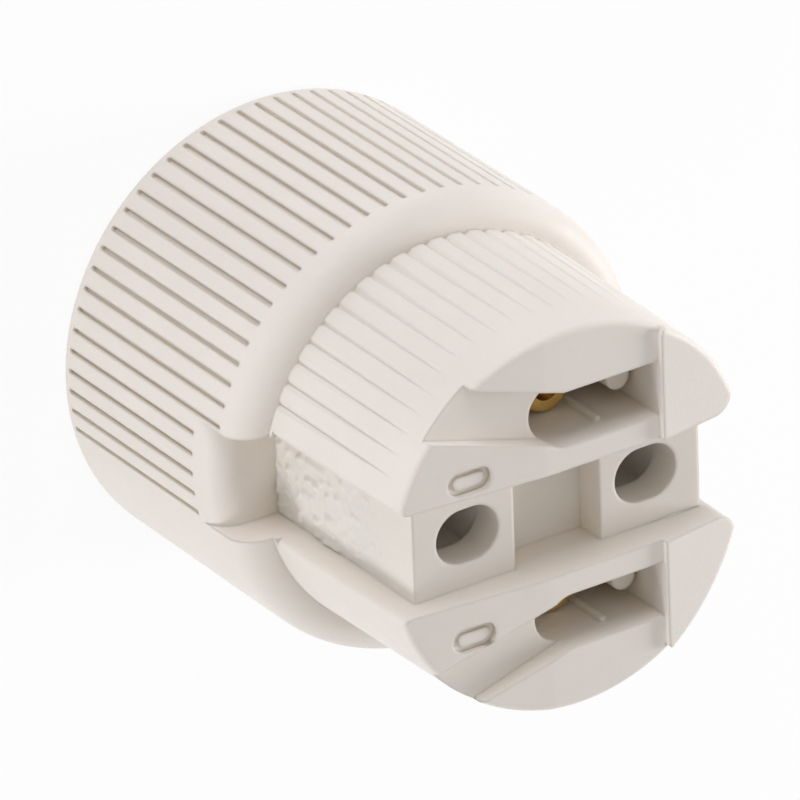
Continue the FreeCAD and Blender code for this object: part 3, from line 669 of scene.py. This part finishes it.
# ---- housing
@dataclass
class Housing:
    """The moulded body with its rounded lobe ends, its torn skin and its flash."""

    # The rounded ends of the lobes, left and right.
    corner_radii: Pair = (0.6 * MM, 1.7 * MM)
    corner_bottom: float = 26.2 * MM
    neck_base_radius: float = 17.2 * MM
    neck_end_radius: float = 16.8 * MM
    neck_levels: Pair = (25.8 * MM, 45.1 * MM)
    corner_steps: int = 10
    corner_reach: float = 3.0 * MM
    corner_margin: float = 0.6 * MM
    weld: float = 0.0001 * MM
    grid: float = 0.002 * MM
    rounding_slack: float = 0.01 * MM
    level_slack: float = 0.02
    same_face: float = 0.9995
    same_side: float = 0.9

    # The skin torn on the left flat.
    flat_x: float = -13.8 * MM
    flat_half_width: float = 4.6 * MM
    flat_bottom: float = 22.4 * MM
    flat_top: float = 41.9 * MM
    skin_lift: float = 0.14 * MM
    skin_depth: float = 0.12 * MM
    fine_per_metre: float = 2300.0
    fine_share: float = 0.5
    broad_per_metre: float = 800.0
    broad_shift: Point = (3.1, 7.7, 1.3)
    lump_lift: float = 0.6 * MM
    lumps_per_metre: float = 1250.0
    lump_shift: Point = (9.0, 2.0, 5.0)
    lump_sharpness: float = 1.3
    border: float = 0.35 * MM
    fade: float = 12.0 * MM
    sink: float = 0.05 * MM
    rough_start: float = 26.5 * MM
    rough_length: float = 11.0 * MM
    rough_width: float = 2.6 * MM
    rough_side: float = 0.6
    rough_least: float = 0.3
    rows: int = 150
    columns: int = 80

    # The flash in the channel, and the finish.
    channel_floor: float = 42.1 * MM
    flash_span: Pair = (8.8 * MM, 13.7 * MM)
    flash_radius: float = 0.2 * MM
    flash_least: float = 0.35
    flash_tip: float = 0.1
    flash_lumps_per_metre: float = 2400.0
    flash_shift: Pair = (4.0, 1.0)
    flash_steps: int = 90
    flash_corners: int = 10
    # The default deep colour of this moulding is painted shade in its hollows.
    moulding: Moulding = Moulding(
        "moulded_body_warm_white", base=(0.80, 0.745, 0.675), drift=(0.765, 0.705, 0.63),
        # The edge colour is a painted highlight on the body's edges.
        edge=(0.83, 0.80, 0.735))

    def neck_radius(self, up: float) -> float:
        """The drafted neck's radius.

        Args:
            up: the level.

        Returns:
            The radius there.
        """
        low, high = self.neck_levels
        share = (up - low) / (high - low)
        return self.neck_base_radius + (self.neck_end_radius - self.neck_base_radius) * share

    def corner_centre(self, radius: float, up: float) -> Pair:
        """The centre of a rounding between the channel's wall and the neck.

        Args:
            radius: the rounding's radius.
            up: the level.

        Returns:
            Its place towards +X and +Y.
        """
        reach = self.neck_radius(up) - radius
        across = self.flat_half_width + radius
        return math.sqrt(reach * reach - across * across), across

    def corner_outline(self, radius: float, up: float) -> Section:
        """The plan of what a rounded corner takes off a lobe's sharp end.

        Args:
            radius: the rounding's radius.
            up: the level.

        Returns:
            The points of a closed outline at the corner towards +X and +Y.
        """
        centre_x, centre_y = self.corner_centre(radius, up)
        last = math.atan2(centre_y, centre_x)
        outline: Section = []
        for step in range(self.corner_steps + 1):
            turn = -math.pi / 2 + (last + math.pi / 2) * step / self.corner_steps
            outline.append((centre_x + radius * math.cos(turn),
                            centre_y + radius * math.sin(turn)))
        beyond = self.neck_base_radius + self.corner_reach
        outside_y = self.flat_half_width - self.corner_margin
        outline.append((beyond * math.cos(last), beyond * math.sin(last)))
        outline.append((beyond, outside_y))
        outline.append((centre_x, outside_y))
        return outline

    def fill_corner_cutters(self, work: Work) -> None:
        """Build the four prisms that round the lobes' ends.

        Args:
            work: the mesh to fill.
        """
        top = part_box("housing")[1].z + self.corner_margin
        for side_x, radius in zip((-1.0, 1.0), self.corner_radii):
            for side_y in (-1.0, 1.0):
                rings = [[work.verts.new((x * side_x, y * side_y, up))
                          for x, y in self.corner_outline(radius, up)]
                         for up in (self.corner_bottom, top)]
                close_grid(work, rings, along=True)
                work.faces.new(rings[0][::-1])
                work.faces.new(rings[1])

    def fill_body(self, work: Work) -> None:
        """Take over the solid body's faces as one closed mesh.

        Args:
            work: the mesh to fill.
        """
        work.from_mesh(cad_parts["housing"].data)
        bmesh.ops.remove_doubles(work, verts=work.verts, dist=self.weld)

    def round_corners(self) -> bpy.types.Object:
        """Copy the solid body and take the sharp ends off its lobes.

        Returns:
            The new body.
        """
        body = mesh_object("housing_rounded", self.fill_body)
        cutter = mesh_object("corner_cutters", self.fill_corner_cutters)
        cut = body.modifiers.new("corners", "BOOLEAN")
        cut.operation = "DIFFERENCE"
        cut.solver = "EXACT"
        cut.object = cutter
        finished = body.evaluated_get(bpy.context.evaluated_depsgraph_get())
        mesh = bpy.data.meshes.new_from_object(finished)
        mesh.materials.clear()
        body.modifiers.clear()
        body.data = mesh
        bpy.data.objects.remove(cutter)
        self.carry_normals(mesh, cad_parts["housing"].data)
        return body

    def rounding_normal(self, spot: Vector) -> Vector | None:
        """The outward direction on a rounded lobe corner.

        Args:
            spot: a point of the body.

        Returns:
            The direction, or None where the point isn't on a rounding.
        """
        radius = self.corner_radii[1] if spot.x > 0.0 else self.corner_radii[0]
        centre_x, centre_y = self.corner_centre(radius, spot.z)
        across, along = abs(spot.x) - centre_x, abs(spot.y) - centre_y
        off = abs(math.hypot(across, along) - radius)
        if off > self.rounding_slack or spot.z < self.corner_bottom - self.weld:
            return None
        outward = Vector((across * math.copysign(1.0, spot.x),
                          along * math.copysign(1.0, spot.y), 0.0))
        return outward.normalized()

    def carry_normals(self, mesh: bpy.types.Mesh, source: bpy.types.Mesh) -> None:
        """Give the cut body the smooth directions of the solid it was cut from.

        Args:
            mesh: the cut body.
            source: the solid's own mesh.
        """
        known: dict[tuple[int, ...], list[tuple[Vector, Vector]]] = {}
        for polygon in source.polygons:
            for index in polygon.loop_indices:
                spot = source.vertices[source.loops[index].vertex_index].co
                known.setdefault(self.key(spot), []).append(
                    (polygon.normal.copy(), source.corner_normals[index].vector.copy()))
        directions = []
        for polygon in mesh.polygons:
            spots = [mesh.vertices[index].co for index in polygon.vertices]
            around = [self.rounding_normal(spot) for spot in spots]
            level = abs(polygon.normal.z) < self.level_slack
            rounding = level and all(turn and turn.dot(polygon.normal) > self.same_side
                                     for turn in around)
            for spot, turn in zip(spots, around):
                pairs = known.get(self.key(spot), [])
                best = max(pairs, key=lambda pair: pair[0].dot(polygon.normal), default=None)
                if rounding:
                    directions.append(turn)
                elif best and best[0].dot(polygon.normal) > self.same_face:
                    directions.append(best[1])
                else:
                    directions.append(polygon.normal.copy())
        mesh.normals_split_custom_set(directions)

    def key(self, spot: Vector) -> tuple[int, ...]:
        """A vertex's place as whole numbers, to find it again."""
        return tuple(round(value / self.grid) for value in spot)

    def skin_height(self, across: float, up: float) -> float:
        """How far the torn skin stands off the flat.

        Args:
            across: the place along Y.
            up: the place along Z.

        Returns:
            The height, below zero at the border so that the skin sinks in there.
        """
        edge = min(self.flat_half_width - abs(across), up - self.flat_bottom)
        inside = smooth_step(edge / self.border) * smooth_step((self.flat_top - up) / self.fade)
        place = Vector((across, up, 0.0))
        fine = cloud(place * self.fine_per_metre)
        broad = cloud(place * self.broad_per_metre + Vector(self.broad_shift))
        low = 1.0 - smooth_step((up - self.rough_start) / self.rough_length)
        side = 1.0 - smooth_step((across + self.flat_half_width) / self.rough_width)
        torn = min(1.0, self.rough_least + low + side * self.rough_side)
        peaks = noise.noise(place * self.lumps_per_metre + Vector(self.lump_shift))
        lumps = max(0.0, peaks) ** self.lump_sharpness
        height = (fine * self.fine_share + broad) * self.skin_lift * torn
        height += lumps * self.lump_lift * torn
        return inside * height - (1.0 - inside) * self.sink

    def fill_skin(self, work: Work) -> None:
        """Build the torn skin as a closed, thin, lumpy sheet on the flat.

        Args:
            work: the mesh to fill.
        """
        front, back = [], []
        for row in range(self.rows + 1):
            up = self.flat_bottom + (self.flat_top - self.flat_bottom) * row / self.rows
            front_row, back_row = [], []
            for column in range(self.columns + 1):
                across = self.flat_half_width * (2.0 * column / self.columns - 1.0)
                lift = self.skin_height(across, up)
                front_row.append(work.verts.new((self.flat_x - lift, across, up)))
                back_row.append(work.verts.new((self.flat_x + self.skin_depth, across, up)))
            front.append(front_row)
            back.append(back_row)
        close_grid(work, front)
        close_grid(work, [row[::-1] for row in back])
        close_grid(work, [front[0][::-1], back[0][::-1]])
        close_grid(work, [front[-1], back[-1]])
        close_grid(work, [[row[0] for row in sheet] for sheet in (front, back)])
        close_grid(work, [[row[-1] for row in sheet][::-1] for sheet in (front, back)])

    def fill_flash(self, work: Work) -> None:
        """Build the ragged bead of flash at the foot of the channel's wall.

        Args:
            work: the mesh to fill.
        """
        start, end = self.flash_span
        rings = []
        for step in range(self.flash_steps + 1):
            share = step / self.flash_steps
            along = start + (end - start) * share
            rough = cloud(Vector((along * self.flash_lumps_per_metre, *self.flash_shift)))
            swell = max(self.flash_tip, math.sin(math.pi * share))
            radius = self.flash_radius * (self.flash_least + rough) * swell
            ring = []
            for corner in range(self.flash_corners):
                turn = 2.0 * math.pi * corner / self.flash_corners
                ring.append(work.verts.new((along, -self.flat_half_width + radius * math.cos(turn),
                                            self.channel_floor + radius * math.sin(turn))))
            rings.append(ring)
        close_grid(work, rings, along=True)
        work.faces.new(rings[0])
        work.faces.new(rings[-1][::-1])

    def build(self, groups: Groups) -> None:
        """Dress the housing, round its corners and add its torn skin and its flash.

        Args:
            groups: the shared node groups.
        """
        material = self.moulding.material(groups)
        dress_node("housing", material)
        fit_out(self.round_corners(), "holder", material, ["housing"])
        for name, fill in (("left_flat_skin", self.fill_skin), ("channel_flash", self.fill_flash)):
            fit_out(mesh_object(name, fill), "holder", material)


# ---- socket inside
@dataclass
class ScrewShell:
    """The rolled screw shell, its flange and its two legs."""

    pitch: float = 3.62 * MM
    thread_depth: float = 1.0 * MM
    wall: float = 0.4 * MM
    sleeve_top: float = 20.5 * MM
    flange_inner: float = 10.9 * MM
    leg_outer: float = 11.77 * MM
    leg_width: float = 4.0 * MM
    tab_length: float = 4.5 * MM
    leg_azimuth: float = math.radians(-64.5)
    bend_radius: float = 0.7 * MM
    bend_steps: int = 8
    thread_start: float = 0.6 * MM
    thread_end: float = 1.2 * MM
    thread_fade: float = 1.6 * MM
    steps_around: int = 160
    levels: int = 120

    def thread(self, angle: float, up: float, bottom: float) -> float:
        """How far the rolled thread stands inwards.

        Args:
            angle: the place around the axis, in radians.
            up: the place along Z.
            bottom: the sleeve's lower end.

        Returns:
            The inward distance.
        """
        phase = 2.0 * math.pi * up / self.pitch - angle
        wave = 0.5 - 0.5 * math.cos(phase)
        start = smooth_step((up - bottom - self.thread_start) / self.thread_fade)
        end = smooth_step((self.sleeve_top - self.thread_end - up) / self.thread_fade)
        return self.thread_depth * wave * min(start, end)

    def fill_sleeve(self, work: Work) -> None:
        """Build the threaded sleeve and its flange as one closed ring.

        Args:
            work: the mesh to fill.
        """
        low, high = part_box("screw_shell")
        bottom, outer = low.z, high.x
        root = outer - self.wall
        under = self.sleeve_top - self.wall
        rings = []
        for turn in range(self.steps_around):
            angle = 2.0 * math.pi * turn / self.steps_around
            inner_line, outer_line = [], []
            for level in range(self.levels + 1):
                up = bottom + (under - bottom) * level / self.levels
                inward = self.thread(angle, up, bottom)
                inner_line.append((root - inward, up))
                outer_line.append((outer - inward, up))
            section: Section = inner_line + [(self.flange_inner, under),
                                             (self.flange_inner, self.sleeve_top),
                                             (outer, self.sleeve_top)] + outer_line[::-1]
            rings.append([work.verts.new((r * math.cos(angle), r * math.sin(angle), z))
                          for r, z in section])
        close_grid(work, rings, around=True, along=True)

    def leg_line(self, top: float) -> Section:
        """The leg's outer line, up from the flange and bent in to the tab.

        Args:
            top: the level of the tab's upper face.

        Returns:
            Points as radius and height.
        """
        line: Section = [(self.leg_outer, self.sleeve_top - self.wall / 2)]
        for step in range(self.bend_steps + 1):
            turn = math.pi / 2 * step / self.bend_steps
            line.append((self.leg_outer - self.bend_radius * (1.0 - math.cos(turn)),
                         top - self.bend_radius * (1.0 - math.sin(turn))))
        line.append((self.leg_outer - self.tab_length, top))
        return line

    def fill_leg(self, work: Work, azimuth: float) -> None:
        """Build one leg with its tab.

        Args:
            work: the mesh to fill.
            azimuth: the leg's place around the axis.
        """
        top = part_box("screw_shell")[1].z
        outer = self.leg_line(top)
        inner: Section = []
        for index, (radius, up) in enumerate(outer):
            before = outer[max(0, index - 1)]
            after = outer[min(len(outer) - 1, index + 1)]
            run = Vector((after[0] - before[0], after[1] - before[1])).normalized()
            inner.append((radius - run.y * self.wall, up + run.x * self.wall))
        loop = outer + inner[::-1]
        spin = Matrix.Rotation(azimuth, 3, "Z")
        half = self.leg_width / 2
        sides = [[work.verts.new(spin @ Vector((r, across, z))) for r, z in loop]
                 for across in (-half, half)]
        close_grid(work, sides, along=True)
        count = len(outer)
        for side in sides:
            for step in range(count - 1):
                work.faces.new((side[step], side[step + 1],
                                side[2 * count - 2 - step], side[2 * count - 1 - step]))

    def fill(self, work: Work) -> None:
        """Build the whole shell.

        Args:
            work: the mesh to fill.
        """
        self.fill_sleeve(work)
        for azimuth in (self.leg_azimuth, self.leg_azimuth + math.pi):
            self.fill_leg(work, azimuth)

    def build(self, groups: Groups) -> None:
        """Build and dress the shell.

        Args:
            groups: the shared node groups.
        """
        plating = Metal("nickel_plated_shell", base=(0.68, 0.66, 0.61), drift=(0.60, 0.57, 0.51),
                        roughness=0.27, tooling=Tooling.DRAWN, line_depth=0.002 * MM)
        shell = mesh_object("screw_shell_rolled", self.fill)
        fit_out(shell, "holder", plating.material(groups), ["screw_shell"])


@dataclass
class CentreContact:
    """The sprung centre contact, its coil spring, the cover and the strips behind it."""

    wire_radius: float = 0.18 * MM
    turns: float = 6.0
    travel: float = 1.5 * MM
    end_closing: float = 0.55
    round_steps: int = 14
    steps_per_turn: int = 40

    def fill_spring(self, work: Work) -> None:
        """Build the coil with closed end turns.

        Args:
            work: the mesh to fill.
        """
        low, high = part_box("contact_spring")
        coil = high.x - self.wire_radius
        count = int(self.turns * self.steps_per_turn)
        bottom, top = low.z + self.wire_radius, high.z - self.wire_radius
        rings = []
        for step in range(count + 1):
            share = step / count
            angle = 2.0 * math.pi * self.turns * share
            eased = math.sin(2.0 * math.pi * share) / (2.0 * math.pi) * self.end_closing
            rise = share - eased
            centre = Vector((coil * math.cos(angle), coil * math.sin(angle),
                             bottom + (top - bottom) * rise))
            outward = Vector((math.cos(angle), math.sin(angle), 0.0))
            ring = []
            for corner in range(self.round_steps):
                turn = 2.0 * math.pi * corner / self.round_steps
                ring.append(work.verts.new(
                    centre + outward * self.wire_radius * math.cos(turn)
                    + Vector((0.0, 0.0, self.wire_radius * math.sin(turn)))))
            rings.append(ring)
        close_grid(work, rings, along=True)
        work.faces.new(rings[0])
        work.faces.new(rings[-1][::-1])

    def build(self, groups: Groups) -> None:
        """Dress the contact and its strips and build the spring.

        Args:
            groups: the shared node groups.
        """
        nickel = Metal("nickel_plated_contact", base=(0.70, 0.68, 0.63),
                       drift=(0.62, 0.59, 0.52), roughness=0.24)
        brass = Metal("rolled_brass_strip", base=(0.76, 0.56, 0.25), drift=(0.64, 0.44, 0.18),
                      roughness=0.34, tooling=Tooling.ROLLED)
        steel = Metal("bright_spring_wire", base=(0.52, 0.52, 0.52), drift=(0.42, 0.42, 0.41),
                      roughness=0.3, tooling=Tooling.DRAWN)
        # The cover's default deep colour is painted shade in its hollows.
        cover = Moulding("moulded_cover_cream", base=(0.76, 0.71, 0.63),
                         # The cover's edge colour is a painted highlight on its edges.
                         drift=(0.72, 0.67, 0.585), edge=(0.82, 0.78, 0.70))
        dress_node("centre_contact", nickel.material(groups))
        strip_brass = brass.material(groups)
        dress_node("centre_strip", strip_brass)
        dress_node("shell_strip", strip_brass)
        dress_node("contact_cover", cover.material(groups))
        spring = mesh_object("contact_spring_coil", self.fill_spring)
        fit_out(spring, "holder", steel.material(groups), ["contact_spring"])
        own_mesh(spring)


# ---- terminals and screws
@dataclass
class Terminals:
    """The two pillar terminals and their clamping screws."""

    sides: tuple[str, str] = ("upper", "lower")

    def build(self, groups: Groups) -> None:
        """Dress each barrel and screw with lines about its own axis.

        Args:
            groups: the shared node groups.
        """
        for side in self.sides:
            axis = upright_axis(*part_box(f"terminal_barrel_{side}"))
            brass = Metal(f"turned_brass_{side}", base=(0.80, 0.56, 0.20),
                          drift=(0.66, 0.42, 0.12), roughness=0.26,
                          axis=axis)
            zinc = Metal(f"zinc_plated_clamp_{side}", base=(0.58, 0.57, 0.54),
                         drift=(0.48, 0.47, 0.43), roughness=0.32,
                         axis=axis)
            dress_node(f"terminal_barrel_{side}", brass.material(groups))
            dress_node(f"clamp_screw_{side}", zinc.material(groups))


@dataclass
class ShellScrews:
    """The two slotted screws through the shell's tabs."""

    sides: tuple[str, str] = ("left", "right")

    def build(self, groups: Groups) -> None:
        """Dress each screw with lines about its own axis.

        Args:
            groups: the shared node groups.
        """
        for side in self.sides:
            zinc = Metal(f"zinc_plated_screw_{side}", base=(0.60, 0.59, 0.55),
                         drift=(0.50, 0.48, 0.42), roughness=0.3,
                         axis=upright_axis(*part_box(f"shell_screw_{side}")))
            dress_node(f"shell_screw_{side}", zinc.material(groups))


# ---- studio
@dataclass(frozen=True)
class SoftLamp:
    """A square soft lamp that looks at the holder."""

    name: str
    direction: Point
    size: float
    power: float
    colour: Colour
    distance: float = 0.6

    def build(self, aim: Vector) -> None:
        """Place the lamp.

        Args:
            aim: the point that it looks at.
        """
        data = bpy.data.lights.new(self.name, "AREA")
        data.size = self.size
        data.energy = self.power
        data.color = self.colour
        lamp = bpy.data.objects.new(self.name, data)
        way = Vector(self.direction).normalized()
        lamp.location = aim + way * self.distance
        lamp.rotation_euler = way.to_track_quat("Z", "Y").to_euler()
        bpy.context.scene.collection.objects.link(lamp)


@dataclass
class Studio:
    """Pale floor, white surroundings, soft lamps and a long lens, whose own sizes are in mm."""

    azimuth: float = math.radians(32.8)
    elevation: float = math.radians(27.39)
    roll: float = math.radians(-2.19)
    distance: float = 907.9 * MM
    focal_length: float = 506.07
    sensor_width: float = 36.0
    nearest: float = 0.01
    aim_height: float = 25.1 * MM
    aim_right: float = -3.02 * MM
    aim_up: float = 2.054 * MM
    floor_size: float = 3.0
    floor_drop: float = 0.02 * MM
    floor_colour: Colour = (0.95, 0.95, 0.95)
    floor_glow: float = 0.9
    world_colour: Colour = (0.97, 0.98, 1.0)
    world_level: float = 0.55
    white: Colour = (1.0, 1.0, 1.0)
    lamps: tuple[SoftLamp, ...] = (
        SoftLamp("top_lamp", (-0.2, 0.93, 0.18), size=0.3, power=1.4,
                 colour=(0.925, 0.925, 1.0)),
        SoftLamp("left_lamp", (-0.8, -0.5, 0.05), size=0.2, power=1.75,
                 colour=(0.95, 0.95, 1.0)),
        SoftLamp("end_lamp", (0.88, -0.15, 0.3), size=0.22, power=2.3,
                 colour=(0.97, 0.96, 1.0)),
    )

    def build_camera(self) -> None:
        """Place the camera at the viewing angle, with its roll."""
        level = math.cos(self.elevation)
        back = Vector((-math.sin(self.azimuth) * level, math.sin(self.elevation),
                       math.cos(self.azimuth) * level))
        right = Vector((0.0, 1.0, 0.0)).cross(back).normalized()
        up = back.cross(right)
        turned_right = right * math.cos(self.roll) + up * math.sin(self.roll)
        turned_up = up * math.cos(self.roll) - right * math.sin(self.roll)
        aim = Vector((0.0, 0.0, self.aim_height))
        aim += turned_right * self.aim_right + turned_up * self.aim_up
        data = bpy.data.cameras.new("long_lens")
        data.sensor_width = self.sensor_width
        data.lens = self.focal_length
        data.clip_start = self.nearest
        camera = bpy.data.objects.new("camera", data)
        turn = Matrix((turned_right, turned_up, back)).transposed().to_4x4()
        camera.matrix_world = Matrix.Translation(aim + back * self.distance) @ turn
        bpy.context.scene.collection.objects.link(camera)
        bpy.context.scene.camera = camera

    @staticmethod
    def seen_rays(graph: Graph) -> Socket:
        """A mask of the rays that see the surroundings: straight, glossy and through glass.

        Args:
            graph: the tree that needs it.

        Returns:
            The mask's socket.
        """
        path = graph.add("LightPath")
        both = graph.math("MAXIMUM", path.outputs["Is Camera Ray"],
                          path.outputs["Is Glossy Ray"])
        return graph.math("MAXIMUM", both, path.outputs["Is Transmission Ray"])

    @staticmethod
    def finish_tree(graph: Graph, output: str, mask: Socket,
                    lit: Node, seen: Node) -> None:
        """Mix what lights the holder with what is seen, and put it out.

        Args:
            graph: the tree.
            output: the kind of its output node.
            mask: 0 for the lit shader, 1 for the seen one.
            lit: the shader that the holder's light comes from.
            seen: the shader that the lens sees.
        """
        mixed = graph.add("MixShader")
        for place, value in enumerate((mask, lit.outputs[0], seen.outputs[0])):
            graph.feed(mixed, place, value)
        end = graph.add(output)
        graph.feed(end, "Surface", mixed.outputs[0])

    def build_world(self) -> None:
        """Even pale light, and white where it is seen."""
        world = bpy.data.worlds.new("surroundings")
        world.use_nodes = True
        bpy.context.scene.world = world
        graph = Graph(world.node_tree)
        lit = graph.add("Background")
        graph.feed(lit, "Color", self.world_colour)
        graph.feed(lit, "Strength", self.world_level)
        seen = graph.add("Background")
        graph.feed(seen, "Color", self.white)
        self.finish_tree(graph, "OutputWorld", self.seen_rays(graph), lit, seen)

    def fill_floor(self, work: Work) -> None:
        """Build one square just under the mouth rim.

        Args:
            work: the mesh to fill.
        """
        half = self.floor_size / 2
        corners = ((-half, -half), (half, -half), (half, half), (-half, half))
        work.faces.new([work.verts.new((x, y, -self.floor_drop)) for x, y in corners])

    def build_floor(self) -> None:
        """A pale floor under the mouth rim that keeps a faint shadow."""
        floor = mesh_object("floor", self.fill_floor)
        material = bpy.data.materials.new("pale_floor")
        material.use_nodes = True
        graph = Graph(material.node_tree)
        matt = graph.add("BsdfDiffuse")
        graph.feed(matt, "Color", self.floor_colour)
        glow = graph.add("Emission")
        graph.feed(glow, "Color", self.white)
        share = graph.math("MULTIPLY", self.seen_rays(graph), self.floor_glow)
        self.finish_tree(graph, "OutputMaterial", share, matt, glow)
        floor.data.materials.append(material)

    def build(self) -> None:
        """Set up the whole studio."""
        self.build_camera()
        self.build_world()
        self.build_floor()
        aim = Vector((0.0, 0.0, self.aim_height))
        for lamp in self.lamps:
            lamp.build(aim)
        bpy.context.scene.view_settings.view_transform = "Standard"
        LOG.info("studio has %d lamps", len(self.lamps))


def main() -> None:
    """Build every sub-assembly around the frame."""
    logging.basicConfig(level=logging.INFO, format="%(name)s: %(message)s")
    groups = Groups()
    Studio().build()
    for assembly in (Housing(), ScrewShell(), CentreContact(), Terminals(), ShellScrews()):
        assembly.build(groups)


if __name__ == "__main__":
    main()
